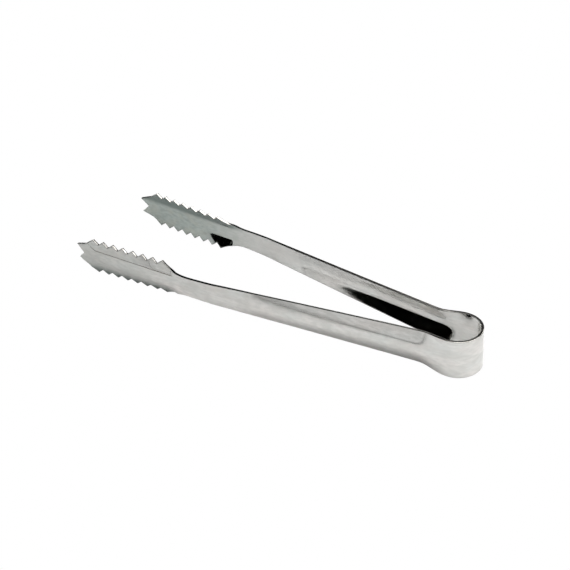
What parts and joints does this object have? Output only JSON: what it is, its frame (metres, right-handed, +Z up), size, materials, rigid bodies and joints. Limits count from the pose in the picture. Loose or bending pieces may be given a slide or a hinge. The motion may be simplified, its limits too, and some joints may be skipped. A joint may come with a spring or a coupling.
{
  "type": "ice tongs",
  "caption": "Spring tongs for ice: a flat U-shaped bow, two channelled arms and toothed, fishtailed claws, folded from one strip of stainless steel.",
  "frame": {"origin": "centre of the overall box at its base, on the surface that the tongs lie on", "axes": "+X along the tongs towards the bow, +Y towards the right-hand arm, +Z up, across the width of the strip"},
  "size_m": [0.1806, 0.0444, 0.0167],
  "materials": {
    "bow_steel": "polished stainless sheet with fine rolling lines",
    "arm_steel": "polished stainless sheet, lightly scuffed",
    "claw_steel": "stainless sheet, duller, with bright sheared tooth edges"
  },
  "bodies": {
    "bow": {"bow_crown": "bow_steel"},
    "right_arm": {"right_bow_leg": "bow_steel", "right_shoulder": "arm_steel", "right_handle": "arm_steel", "right_neck": "arm_steel", "right_palm": "claw_steel", "right_upper_teeth": "claw_steel", "right_lower_teeth": "claw_steel", "right_fishtail": "claw_steel"},
    "left_arm": {"left_bow_leg": "bow_steel", "left_shoulder": "arm_steel", "left_handle": "arm_steel", "left_neck": "arm_steel", "left_palm": "claw_steel", "left_upper_teeth": "claw_steel", "left_lower_teeth": "claw_steel", "left_fishtail": "claw_steel"}
  },
  "joints": [
    {"name": "right_squeeze", "type": "hinge", "parent": "bow", "child": "right_arm", "pos_m": [0.08753, 0.00592, 0.00835], "axis": [0, 0, 1], "range_deg": [-2, 6.5], "stiffness_Nm_per_rad": 20},
    {"name": "left_squeeze", "type": "hinge", "parent": "bow", "child": "left_arm", "pos_m": [0.08753, -0.00592, 0.00835], "axis": [0, 0, -1], "range_deg": [-2, 6.5], "stiffness_Nm_per_rad": 20}
  ],
  "couplings": [
    {"joint": "left_squeeze", "follows": "right_squeeze", "ratio": 1}
  ]
}
